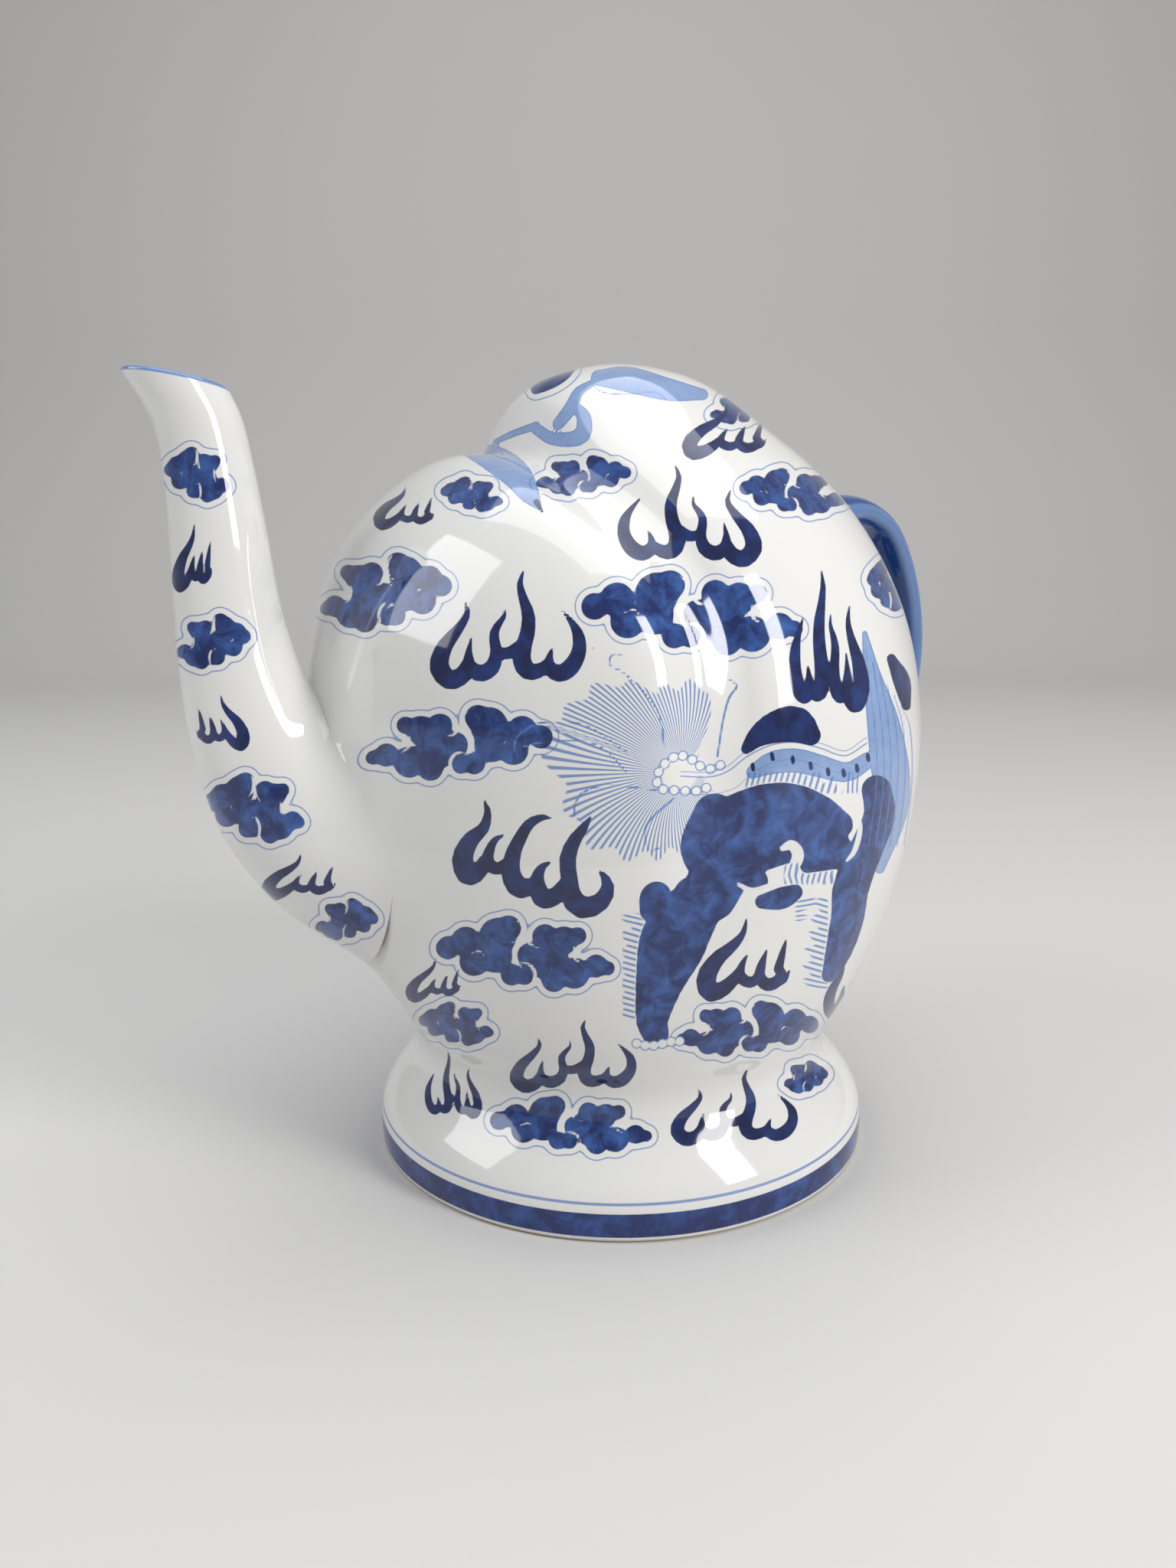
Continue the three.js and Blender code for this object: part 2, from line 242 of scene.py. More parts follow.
# A cloud as it stands in the box below: round lobes, and the white crescents that cut them
CLOUD_BOX = (465, 898, 707, 1002)
CLOUD = [
    (482, 940, 15), (506, 932, 19), (517, 957, 19), (548, 926, 24), (563, 915, 16),
    (545, 950, 22), (567, 974, 14), (584, 976, 11), (592, 950, 17), (611, 926, 16),
    (636, 931, 18), (655, 925, 11), (615, 955, 26), (623, 980, 16), (650, 972, 20),
    (679, 963, 15), (695, 966, 9),
]
CRESCENTS = [
    ([(573, 905), (582, 914), (580, 928), (567, 934)], [0.8, 1.9, 1.9, 0.6]),
    ([(588, 908), (585, 922), (591, 935), (603, 940)], [1.8, 2.3, 2.0, 0.6]),
    ([(575, 959), (590, 961), (598, 972), (595, 986)], [0.6, 1.9, 2.3, 1.8]),
    ([(650, 940), (651, 953), (660, 960)], [1.6, 2.0, 0.6]),
    ([(512, 948), (524, 944), (531, 952)], [0.5, 1.1, 0.5]),
]
FAR = 40.0  # the distance written where no mark is near
FIELD_NAMES = (
    "dark", "cloud", "coat", "curl", "line", "wash", "pearl", "spine_mask", "hair_mask",
)


class Canvas:
    """Fields over a set of picture points; each keeps the least signed distance so far."""

    def __init__(self, p):
        self.p = p
        self.f = {k: np.full(len(p), FAR) for k in FIELD_NAMES}
        self.hair = np.zeros(len(p))
        self.spine = np.full(len(p), FAR)

    def near(self, x0, y0, x1, y1, pad=30):
        p = self.p
        return np.flatnonzero(
            (p[:, 0] > x0 - pad) & (p[:, 0] < x1 + pad) & (p[:, 1] > y0 - pad) & (p[:, 1] < y1 + pad)
        )

    def put(self, name, idx, d):
        self.f[name][idx] = np.minimum(self.f[name][idx], d)

    def stroke(self, name, path, radii, n=14):
        pts, r = curve(path, radii, n)
        idx = self.near(*pts.min(0), *pts.max(0), pad=FAR)
        if len(idx):
            self.put(name, idx, capsules(self.p[idx], pts, r))

    def place(self, home, box, flip):
        """Scale of a mark drawn in its home box, and the map that takes it to another box."""
        sx = (box[2] - box[0]) / (home[2] - home[0])
        sy = (box[3] - box[1]) / (home[3] - home[1])

        def move(x, y):
            u = (home[2] - x) if flip else (x - home[0])
            return (box[0] + u * sx, box[1] + (y - home[1]) * sy)

        return (sx + sy) / 2, move

    def flame(self, *box, flip=False, form="upright"):
        home, strokes = FORMS[form]
        size, move = self.place(home, box, flip)
        for path, radii in strokes:
            widths = [r * size * 1.12 for r in radii]
            self.stroke("dark", [move(*q) for q in path], widths, 18)

    def cloud(self, *box, flip=False):
        size, move = self.place(CLOUD_BOX, box, flip)
        idx = self.near(*box, pad=FAR)
        if not len(idx):
            return
        p = self.p[idx]
        total = np.zeros(len(p))
        for x, y, r in CLOUD:
            d = np.linalg.norm(p - np.array(move(x, y)), axis=1) - r * size
            total += np.exp(-np.clip(d / 1.6, -40, 40))
        self.put("cloud", idx, -1.6 * np.log(total + 1e-30))
        for path, radii in CRESCENTS:
            self.stroke("curl", [move(*q) for q in path], [r * size for r in radii], 12)

    def follow(self, path):
        """Signed offset from a line, positive above it, for lines drawn alongside it."""
        pts = through(path, np.linspace(0, 1, 40))
        idx = self.near(*pts.min(0), *pts.max(0), pad=30)
        p = self.p[idx]
        y = np.interp(p[:, 0], pts[:, 0], pts[:, 1])
        slope = np.interp(p[:, 0], pts[:, 0], np.gradient(pts[:, 1], pts[:, 0]))
        self.spine[idx] = (y - p[:, 1]) / np.sqrt(1 + slope**2)
        ends = np.maximum(pts[:, 0].min() - p[:, 0], p[:, 0] - pts[:, 0].max())
        self.put("spine_mask", idx, np.maximum(ends, np.abs(self.spine[idx]) - 24))

    def fringe(self, x0, y0, x1, y1, along, way):
        """Short hairs that stand off the edge of the coat inside a box."""
        idx = self.near(x0, y0, x1, y1, pad=12)
        p, d = self.p[idx], self.f["coat"][idx]
        box = np.maximum.reduce([x0 - p[:, 0], p[:, 0] - x1, y0 - p[:, 1], p[:, 1] - y1])
        run = p[:, 1] if along == "x" else p[:, 0]
        phase = run / 7.4 + way * d / 26.0
        ends = 20 + 7 * np.sin(phase * 2.3)
        mask = np.maximum.reduce([box, d - ends, 1.0 - d])
        inside = mask < np.minimum(self.f["hair_mask"][idx], 8)
        self.hair[idx[inside]] = phase[inside]
        self.put("hair_mask", idx, mask)

    def fan(self):
        """The beast's tail: fine hairs that spring from a knot of pearls."""
        idx = self.near(*TAIL_BOX, pad=20)
        p = self.p[idx] - np.array(TAIL_KNOT)
        ang = np.degrees(np.arctan2(-p[:, 1], -p[:, 0]))
        dist = np.linalg.norm(p, axis=1)
        bend = np.where(ang > 20, 0.09, -0.108)
        bent = ang + bend * dist * np.sin(np.radians(ang))
        length = np.interp(bent, *zip(*TAIL_REACH)) + 7 * np.sin(np.radians(bent) * 21)
        mask = np.maximum(dist - length, TAIL_CORE - dist)
        self.hair[idx] = bent * 0.34
        self.put("hair_mask", idx, mask)


FLAMES = [
    (475, 620, 557, 678), (553, 733, 747, 878), (788, 598, 968, 722), (868, 518, 982, 588),
    (1010, 733, 1102, 912), (578, 1018, 782, 1168), (888, 1172, 1012, 1282),
    (653, 1303, 812, 1392), (520, 1222, 590, 1280), (1052, 1222, 1100, 1305),
]
CLOUDS = [
    (562, 606, 642, 658), (682, 580, 806, 636), (942, 596, 1080, 662), (408, 700, 575, 817),
    (738, 727, 1028, 842), (465, 898, 707, 1002), (555, 1166, 787, 1272), (860, 1276, 1046, 1352),
    (535, 1275, 630, 1340), (905, 500, 985, 545), (1110, 705, 1158, 790),
]
FOOT_FLAMES = [(858, 1368, 1018, 1460), (543, 1343, 612, 1428)]
FOOT_CLOUDS = [(622, 1398, 835, 1476), (1000, 1350, 1055, 1400)]
SPOUT_FLAMES = [(222, 668, 272, 762), (248, 885, 318, 962), (332, 1090, 432, 1150)]
SPOUT_CLOUDS = [
    (212, 565, 292, 650), (225, 778, 318, 862), (262, 980, 388, 1086), (402, 1142, 482, 1205),
]


FLAME_FORMS = (
    "drop", "upright", "upright", "drop", "upright", "leaning", "drop", "upright", "drop", "drop",
)
MIRRORED_FLAMES = (2, 4)
RIBBON = [
    ([(598, 575), (631, 586), (658, 605), (674, 628), (688, 648)], [8, 17, 18, 13, 3]),
    ([(631, 564), (655, 553), (684, 543)], [3, 4, 5]),
    ([(684, 547), (706, 560), (740, 557), (745, 534), (733, 518)], [7, 8, 10, 9, 6]),
    ([(712, 541), (728, 520), (738, 500), (756, 488)], [7, 8, 6, 4]),
    ([(764, 482), (801, 484), (853, 497), (896, 503)], [10, 16, 14, 7]),
]
RIBBON_FOLD = [(756, 490), (768, 500), (800, 503), (835, 500), (850, 510)]
RIBBON_TIP = ([(684, 640), (692, 653)], [4, 2])
CROWN_CLOUD = ([(683, 497), (700, 486), (716, 476), (728, 470)], [6, 11, 11, 6])
TAIL_KNOT = (866.0, 985.0)
TAIL_BOX = (660, 820, 950, 1110)
TAIL_CORE = 24  # the hairs begin this far from the knot
# Degrees round the knot, 0 to the left and 90 up, and how far the hairs reach there
TAIL_REACH = [
    (-180, 20), (-85, 95), (-60, 112), (-28, 145), (-5, 150), (14, 190), (38, 162), (58, 150),
    (84, 108), (118, 115), (135, 30), (180, 20),
]
TAIL_CURLS = [
    [(848, 955), (838, 905), (800, 862), (778, 848), (782, 834), (800, 838)],
    [(800, 985), (760, 950), (700, 946), (668, 952)],
    [(800, 960), (745, 925), (690, 922), (660, 940), (655, 960)],
    [(838, 1008), (775, 1002), (742, 1012), (732, 1035), (742, 1048), (752, 1046)],
    [(860, 1018), (835, 1040), (822, 1060), (828, 1084), (840, 1082)],
    [(915, 965), (922, 920), (930, 890), (940, 875), (925, 865), (912, 872)],
]
CURL_WIDTHS = [1.5, 1.5, 1.6, 1.5, 1.3, 0.9]
PEARL_RADIUS = 6.0
TAIL_PEARLS = [
    (840, 985), (848, 974), (859, 966), (871, 964), (883, 969), (893, 977), (906, 981), (919, 976),
    (838, 998), (846, 1007), (860, 1008), (874, 1009), (888, 1009), (901, 1005),
]
ANKLE_PEARLS = [(812 + i * 11, 1331 + 3 * math.sin(i)) for i in range(6)]
COAT = [
    ([(912, 1040), (900, 1080), (918, 1110), (905, 1140)], [28, 32, 36, 36]),
    ([(930, 1040), (975, 1024), (1012, 1024), (1045, 1036), (1070, 1052)], [24, 24, 24, 22, 18]),
    ([(950, 1075), (1010, 1062), (1062, 1082)], [42, 38, 24]),
    ([(1070, 1092), (1030, 1104)], [16, 10]),
    ([(950, 1110), (968, 1124)], [22, 12]),
    ([(972, 1150), (996, 1146), (1014, 1138)], [9, 14, 10]),
    ([(890, 1150), (868, 1185), (857, 1205), (842, 1250), (832, 1298), (836, 1318)],
     [34, 40, 42, 31, 21, 17]),
    ([(830, 1162), (836, 1144), (846, 1140)], [14, 19, 10]),
    ([(1118, 1008), (1122, 1040), (1106, 1080), (1086, 1130), (1081, 1170), (1070, 1212),
      (1057, 1244)], [19, 20, 21, 23, 21, 17, 9]),
]
COAT_CUTS = [
    ([(1094, 1035), (1097, 1058), (1090, 1085), (1080, 1098)], [1.6, 3.2, 3.2, 1.6]),
    ([(998, 1082), (1010, 1078), (1018, 1090), (1012, 1106), (1000, 1116)],
     [3.6, 6.6, 7.6, 6.6, 2.6]),
    ([(942, 1128), (960, 1136), (985, 1128)], [2.6, 3.6, 2.6]),
]
SADDLE = ([(952, 955), (966, 940), (988, 928), (1014, 924), (1034, 938)], [7, 13, 20, 23, 13])
SPINE = [
    (868, 992), (905, 993), (930, 985), (955, 966), (985, 952), (1015, 949), (1045, 956),
    (1078, 966), (1106, 950),
]
SPINE_WASH = (
    [(960, 985), (985, 973), (1015, 970), (1045, 977), (1080, 985), (1106, 970)],
    [8, 14, 15, 14, 12, 10],
)
STUDS = [
    (960, 978), (985, 965), (1011, 969), (1034, 977), (1056, 984), (1076, 986), (1093, 980),
    (1107, 966),
]
# Boxes of the coat's edge that carry short hairs, the way the edge faces and the hairs' lean
FRINGES = [
    (775, 1165, 822, 1300, "x", 1.0), (1015, 1145, 1056, 1262, "x", 1.0),
    (1000, 1095, 1080, 1128, "y", 1.0), (950, 985, 1095, 1012, "y", -1.0),
]
RUFF = (
    [(1103, 808), (1112, 860), (1126, 920), (1136, 985), (1140, 1040), (1122, 1108)],
    [3, 11, 20, 24, 16, 6],
)
RUFF_HAIRS = 6
CHEEK = ([(1137, 840), (1150, 868), (1156, 900)], [6, 11, 6])


def paint_marks(c, flames, clouds, form="upright"):
    for i, box in enumerate(flames):
        c.flame(*box, flip=i % 2 == 1, form=form)
    for i, box in enumerate(clouds):
        c.cloud(*box, flip=i % 2 == 1)


def paint_ribbon(c):
    """The ribbon over the crown, and the cloud behind it."""
    for path, radii in RIBBON:
        c.stroke("wash", path, radii)
    c.stroke("line", RIBBON_FOLD, [1.0] * len(RIBBON_FOLD))
    c.stroke("dark", *RIBBON_TIP)
    c.stroke("cloud", *CROWN_CLOUD)


def paint_tail(c):
    c.fan()
    for path in TAIL_CURLS:
        c.stroke("line", path, CURL_WIDTHS[: len(path)], 24)
    for x, y in TAIL_PEARLS + ANKLE_PEARLS:
        idx = c.near(x, y, x, y, pad=24)
        c.put("pearl", idx, np.hypot(c.p[idx, 0] - x, c.p[idx, 1] - y) - PEARL_RADIUS)


def paint_beast(c):
    """The dark coat, the saddle, the spine with its studs, and the ruff at the far right."""
    for path, radii in COAT:
        c.stroke("coat", path, radii, 18)
    for path, radii in COAT_CUTS:
        c.stroke("curl", path, radii)
    c.stroke("dark", *SADDLE)
    c.stroke("wash", *SPINE_WASH)
    c.follow(SPINE)
    for x, y in STUDS:
        c.stroke("dark", [(x - 0.5, y - 3.5), (x + 0.8, y + 3.5)], [2.6, 2.8], 3)
    for fringe in FRINGES:
        c.fringe(*fringe)
    c.stroke("wash", *RUFF, 20)
    for i in range(RUFF_HAIRS):
        x = 1108 + i * 9
        hair = [(x - 4, 830 + 14 * i), (x + 8, 930), (x + 10, 1000), (x, 1080)]
        c.stroke("line", hair, [0.8] * 4, 16)
    c.stroke("dark", *CHEEK)


def paint_body(c):
    for i, (box, form) in enumerate(zip(FLAMES, FLAME_FORMS)):
        c.flame(*box, flip=i in MIRRORED_FLAMES, form=form)
    paint_marks(c, [], CLOUDS)
    paint_ribbon(c)
    paint_tail(c)
    paint_beast(c)


def side_fields(points, normals, painter):
    """The near side is painted from the picture, the far side is its mirror image."""
    mirror = np.array([1.0, -1.0, 1.0])
    toward = ((CAM_POS - points) * normals).sum(1) / np.linalg.norm(CAM_POS - points, axis=1)
    far_points = points * mirror
    far_toward = ((CAM_POS - far_points) * (normals * mirror)).sum(1)
    far_toward = far_toward / np.linalg.norm(CAM_POS - far_points, axis=1)
    use_far = (toward < 0.02) & (points[:, 1] > 0) | ((points[:, 1] > 0) & (points[:, 0] > -20))
    q = picture(np.where(use_far[:, None], far_points, points))
    facing = np.where(use_far, far_toward, toward)
    c = Canvas(q)
    painter(c)
    hidden = (0.06 - facing) * 200
    for k in c.f:
        c.f[k] = np.maximum(c.f[k], hidden)
    return c


UNROLLED_SCALE = 4.0  # picture units to a millimetre on the handle side
UNROLLED_TOP = 200.0
UNROLLED_RADIUS = 78.0
# Across, up, width and height in mm, across measured round the fruit from its handle side
HANDLE_SIDE_FLAMES = [
    (-16, 148, 34, 24), (16, 104, 36, 28), (-18, 62, 34, 24), (14, 46, 22, 14),
]
HANDLE_SIDE_CLOUDS = [
    (18, 132, 40, 22), (-18, 118, 38, 20), (20, 72, 38, 18), (-16, 88, 30, 14),
]


def unrolled_box(x, z, w, h):
    middle_x, middle_y = x * UNROLLED_SCALE, (UNROLLED_TOP - z) * UNROLLED_SCALE
    half_w, half_h = w * UNROLLED_SCALE / 2, h * UNROLLED_SCALE / 2
    return middle_x - half_w, middle_y - half_h, middle_x + half_w, middle_y + half_h


def paint_handle_side(points, c):
    """Marks that the picture doesn't reach, on the fruit's side unrolled flat."""
    around = np.arctan2(points[:, 1], points[:, 0]) * UNROLLED_RADIUS
    flat = np.stack([around, UNROLLED_TOP - points[:, 2]], -1) * UNROLLED_SCALE
    extra = Canvas(flat)
    flames = [unrolled_box(*place) for place in HANDLE_SIDE_FLAMES]
    clouds = [unrolled_box(*place) for place in HANDLE_SIDE_CLOUDS]
    paint_marks(extra, flames, clouds)
    for k in ("dark", "cloud", "curl"):
        c.f[k] = np.minimum(c.f[k], extra.f[k])


# Meshes
def add_fields(mesh, fields):
    for key, values in fields.items():
        attr = mesh.attributes.new(key, "FLOAT", "POINT")
        attr.data.foreach_set("value", np.asarray(values, dtype=np.float32))


def new_mesh(name, verts, faces, fields=None, smooth=True):
    mesh = bpy.data.meshes.new(name)
    mesh.from_pydata((np.asarray(verts) * MM).tolist(), [], faces)
    mesh.validate()
    if smooth:
        mesh.polygons.foreach_set("use_smooth", [True] * len(mesh.polygons))
    add_fields(mesh, fields or {})
    mesh.update()
    obj = bpy.data.objects.new(name, mesh)
    bpy.context.scene.collection.objects.link(obj)
    return obj


def grid_faces(rows, cols, wrap=True, start=0):
    i = np.arange(rows - 1)[:, None]
    j = np.arange(cols if wrap else cols - 1)[None, :]
    a = start + i * cols + j
    b = start + i * cols + (j + 1) % cols
    return np.stack([a, b, b + cols, a + cols], -1).reshape(-1, 4).tolist()


def grid_normals(p, wrap=True):
    """Unit normals of a grid of points, rows along the first axis."""
    du = np.gradient(p, axis=0)
    dv = (np.roll(p, -1, 1) - np.roll(p, 1, 1)) if wrap else np.gradient(p, axis=1)
    n = np.cross(du, dv)
    return n / np.maximum(np.linalg.norm(n, axis=-1, keepdims=True), 1e-9)


def shift(points):
    return np.asarray(points) + np.array([CENTRE_X, 0, 0])


def tree_of(rings):
    """A search tree over a grid of points whose faces look outwards."""
    rows, cols = rings.shape[:2]
    faces = grid_faces(rows, cols)
    verts = rings.reshape(-1, 3)
    probe = rings[rows // 2]
    first = rings[rows // 2 + 1, 0] - probe[0]
    turn = np.cross(probe[1] - probe[0], first)
    if turn @ (probe[0] - probe.mean(0)) < 0:
        faces = [f[::-1] for f in faces]
    return BVHTree.FromPolygons(verts.tolist(), faces)


def melt(points, normals, tree, reach, where):
    """Raise points near another skin, as slip in the join does, and turn their normals."""
    points, turned = points.copy(), normals.copy()
    for i in np.flatnonzero(where):
        hit, other, _, gap = tree.find_nearest(Vector(points[i]), reach)
        if hit is None:
            continue
        inside = (Vector(points[i]) - hit).dot(other) < 0
        h = 1 - gap / reach
        if inside:
            turned[i] = 0.5 * normals[i] + 0.5 * np.array(other)
            points[i] += normals[i] * (h * h * reach / 4)
            continue
        points[i] += normals[i] * (h * h * reach / 4)
        turned[i] = (1 - h / 2) * normals[i] + (h / 2) * np.array(other)
    return points, turned / np.linalg.norm(turned, axis=1, keepdims=True)


def vertex_normals(obj):
    n = np.empty(len(obj.data.vertices) * 3, dtype=np.float32)
    obj.data.vertex_normals.foreach_get("vector", n)
    return n.reshape(-1, 3)


def fruit_tree():
    tops = np.linspace(math.radians(146), math.radians(1), 120)
    az = np.linspace(0, 2 * math.pi, 160, endpoint=False)
    return tree_of(fruit_point(directions(tops, az)))


def set_normals(obj, normals):
    obj.data.normals_split_custom_set_from_vertices(normals.tolist())


# How far the slip smoothed into each join reaches
SPOUT_FILLET = 11.0
WAIST_FILLET = 12.0
HANDLE_FILLET = 6.0
BODY_ROWS, BODY_COLS = 300, 520
LINING_ROWS, LINING_COLS = 60, 96
WAIST_ANGLE = math.radians(146.6)  # from straight up to the fruit's lowest ring
CROWN_ANGLE = math.radians(0.25)


def directions(tops, azimuths):
    """Unit directions from the core, rows from the first angle to the last."""
    top, azimuth = np.meshgrid(tops, azimuths, indexing="ij")
    across = np.sin(top)
    return np.stack([across * np.cos(azimuth), across * np.sin(azimuth), np.cos(top)], -1)


def make_body():
    """The fruit: rings round its upright axis, from the waist to the crown."""
    tops = np.linspace(WAIST_ANGLE, CROWN_ANGLE, BODY_ROWS)
    even = np.linspace(0, 2 * math.pi, BODY_COLS, endpoint=False)
    # the columns stand closer together on the side with the finest painting
    az = even - 0.42 * np.sin(even - math.radians(-100))
    d = directions(tops, az)
    outer = fruit_point(d)
    normals = -grid_normals(outer)
    if (normals[BODY_ROWS // 2, :, :2] * d[BODY_ROWS // 2, :, :2]).sum() < 0:
        normals = -normals
    flat, n = outer.reshape(-1, 3), normals.reshape(-1, 3)
    foot_rings = turned_rings(foot_outline()[1], 160)
    flat, n = melt(flat, n, tree_of(foot_rings), WAIST_FILLET, flat[:, 2] < 50)
    c = side_fields(flat, n, paint_fruit_and_foot)
    paint_handle_side(flat, c)
    fields = dict(c.f, hair=c.hair, spine=c.spine)
    # the inside of the wall, seen only through the openings
    inner_tops = np.linspace(math.radians(0.5), math.radians(144.5), LINING_ROWS)
    inner_az = np.linspace(0, 2 * math.pi, LINING_COLS, endpoint=False)
    inner = fruit_point(directions(inner_tops, inner_az), WALL).reshape(-1, 3)
    faces = grid_faces(BODY_ROWS, BODY_COLS)
    faces.append(list(range((BODY_ROWS - 1) * BODY_COLS, BODY_ROWS * BODY_COLS)))
    near_spout = (flat[:, 0] < -25) & (flat[:, 2] < 150) & (np.abs(flat[:, 1]) < 60)
    flat, n = melt(flat, n, tree_of(spout_rings(0.0, 80, 60)), SPOUT_FILLET, near_spout)
    near_handle = (flat[:, 0] > 30) & (np.abs(flat[:, 1]) < 30)
    flat, n = melt(flat, n, tree_of(handle_rings(60, 40)[0]), HANDLE_FILLET, near_handle)
    body = new_mesh("fruit_skin", shift(flat), faces, fields)
    set_normals(body, n)
    lining = new_mesh("fruit_lining", shift(inner), grid_faces(LINING_ROWS, LINING_COLS))
    return body, lining


def ring_sweep(middles, halves, across, cols):
    a = np.linspace(0, 2 * math.pi, cols, endpoint=False)
    ring = middles[:, None, :] + halves[:, None, :] * np.cos(a)[None, :, None]
    ring[:, :, 1] += across[:, None] * np.sin(a)[None, :]
    return ring


def upright(v):
    """Points of the pot's middle plane, from across and up."""
    return np.stack([v[:, 0], np.zeros(len(v)), v[:, 1]], -1)


def spout_rings(inset, rows, cols, first=0.0):
    t = np.linspace(first, 1, rows)
    low = through(SPOUT_LOWER, t)
    high = through(SPOUT_UPPER, t)
    wide = through(SPOUT_HALF_WIDTH, t)[..., 0] - inset
    mid2 = (low + high) / 2
    half2 = (high - low) / 2
    size = np.linalg.norm(half2, axis=1, keepdims=True)
    half2 = half2 * (size - inset) / size
    return ring_sweep(upright(mid2), upright(half2), wide, cols)


def make_spout():
    rows, cols = 240, 150
    outer = spout_rings(0.0, rows, cols, 0.12)
    inner = spout_rings(SPOUT_WALL, 70, cols, 0.16)[::-1]
    normals = grid_normals(outer)
    centre = outer.mean(1, keepdims=True)
    if ((outer - centre) * normals).sum() < 0:
        normals = -normals
    c = side_fields(outer.reshape(-1, 3), normals.reshape(-1, 3), paint_spout)
    # a rounded lip between the outside and the bore
    lip_out, lip_in = outer[-1], inner[0]
    steps = np.linspace(0, math.pi, 9)[1:-1]
    mid, half = (lip_out + lip_in) / 2, (lip_out - lip_in) / 2
    lift = np.array([-0.15, 0, 1.0]) * 1.1
    lip = np.stack([mid + half * math.cos(s) + lift * math.sin(s) for s in steps])
    smooth, n = melt(
        outer.reshape(-1, 3), normals.reshape(-1, 3), fruit_tree(), SPOUT_FILLET,
        outer.reshape(-1, 3)[:, 2] < 165,
    )
    outer = smooth.reshape(outer.shape)
    rings = np.concatenate([outer, lip, inner])
    total = len(rings)
    count_extra = (total - rows) * cols
    fields = {k: np.concatenate([v, np.full(count_extra, FAR)]) for k, v in c.f.items()}
    fields["hair"] = np.zeros(total * cols)
    fields["spine"] = np.full(total * cols, FAR)
    rim = np.full((total, cols), FAR)
    rim[rows - 6 : rows + 9] = np.abs(np.arange(15) - 6.5)[:, None] - 1.6
    fields["line"] = np.minimum(fields["line"], rim.reshape(-1))
    skin = new_mesh("spout_skin", shift(rings.reshape(-1, 3)), grid_faces(total, cols), fields)
    blended = vertex_normals(skin)
    agree = 1.0 if (blended[: rows * cols] * n).sum() > 0 else -1.0
    keep = (rows - 12) * cols
    blended[:keep] = agree * n[:keep]
    set_normals(skin, blended)
    return skin


def paint_spout(c):
    paint_marks(c, SPOUT_FLAMES, SPOUT_CLOUDS, "drop")


def handle_rings(rows, cols):
    t = np.linspace(0.04, 1, rows)
    line = through(HANDLE_LINE, t)
    tangent = np.gradient(line, axis=0)
    tangent /= np.linalg.norm(tangent, axis=1, keepdims=True)
    spread = 1 + 0.35 * (smoothstep(0.75, 1, t) + (1 - smoothstep(0, 0.25, t)) * 0.8)
    normal = upright(np.stack([tangent[:, 1], -tangent[:, 0]], -1))
    mid = upright(line)
    half = normal * (HANDLE_THICKNESS / 2 * spread)[:, None]
    return ring_sweep(mid, half, HANDLE_WIDTH / 2 * spread, cols), mid


def make_handle():
    rows, cols = 130, 72
    rings, mid = handle_rings(rows, cols)
    edge = np.abs(np.sin(np.linspace(0, 2 * math.pi, cols, endpoint=False)))
    fields = {"edge": np.tile(edge, rows)}
    normals = grid_normals(rings)
    if ((rings - mid[:, None, :]) * normals).sum() < 0:
        normals = -normals
    flat, n = melt(
        rings.reshape(-1, 3), normals.reshape(-1, 3), fruit_tree(), HANDLE_FILLET,
        np.ones(rows * cols, bool),
    )
    return new_mesh("handle_skin", shift(flat), grid_faces(rows, cols), fields)


def turned_rings(profile, cols):
    a = np.linspace(0, 2 * math.pi, cols, endpoint=False)
    p = np.asarray(profile, float)
    return np.stack(
        [p[:, 0:1] * np.cos(a), p[:, 0:1] * np.sin(a), np.repeat(p[:, 1:2], cols, 1)], -1
    )


def foot_fields(flat, n):
    c = side_fields(flat, n, paint_fruit_and_foot)
    r = np.hypot(flat[:, 0], flat[:, 1])
    z = flat[:, 2]
    outside = r > 49.9
    band = np.where(outside & (r > 63.6), np.abs(z - 4.5) - 2.9, FAR)
    thin = np.where(outside & (z > 6), np.abs(z - 9.6) - 0.32, FAR)
    for k in c.f:
        c.f[k] = np.where(outside & (z > 10.5), c.f[k], FAR)
    return dict(c.f, hair=c.hair, spine=c.spine, band=band, thin=thin, bare=z)


def paint_fruit_and_foot(c):
    """Both pieces carry all the marks, so that none is cut off where their skins meet."""
    paint_body(c)
    paint_marks(c, FOOT_FLAMES, FOOT_CLOUDS)


def foot_outline():
    outside = hermite(
        np.arange(9),
        [(64.4, 0.02), (65.3, 0.9), (FOOT_RADIUS, 2.6), (FOOT_RADIUS, 6.4), (64.9, 10.2), (62.9, 14.2),
         (59.5, 18.6), (55.2, 22.5), (52.0, 25.6)],
        np.linspace(0, 8, 110),
    )
    inside = hermite(
        np.arange(5),
        [(43.6, 25.2), (44.2, 21.5), (53.5, 14), (57.5, 7), (58.9, 0.02)],
        np.linspace(0, 4, 24),
    )
    return inside, outside


def make_foot():
    cols = 420
    inside, outside = foot_outline()
    rings = turned_rings(np.concatenate([inside, outside]), cols)
    flat = rings.reshape(-1, 3)
    skin = new_mesh("foot_skin", shift(flat), grid_faces(len(rings), cols))
    n = vertex_normals(skin)
    radial = flat * np.array([1, 1, 0])
    if (n[len(inside) * cols :] * radial[len(inside) * cols :]).sum() < 0:
        skin.data.flip_normals()
        n = -n
    upper = np.arange(len(flat)) >= (len(inside) + 50) * cols
    moved, n = melt(flat, n, fruit_tree(), WAIST_FILLET, upper)
    add_fields(skin.data, foot_fields(moved, n))
    coords = (shift(moved) * MM).astype(np.float32)
    skin.data.vertices.foreach_set("co", coords.reshape(-1))
    skin.data.update()
    set_normals(skin, n)
    return skin


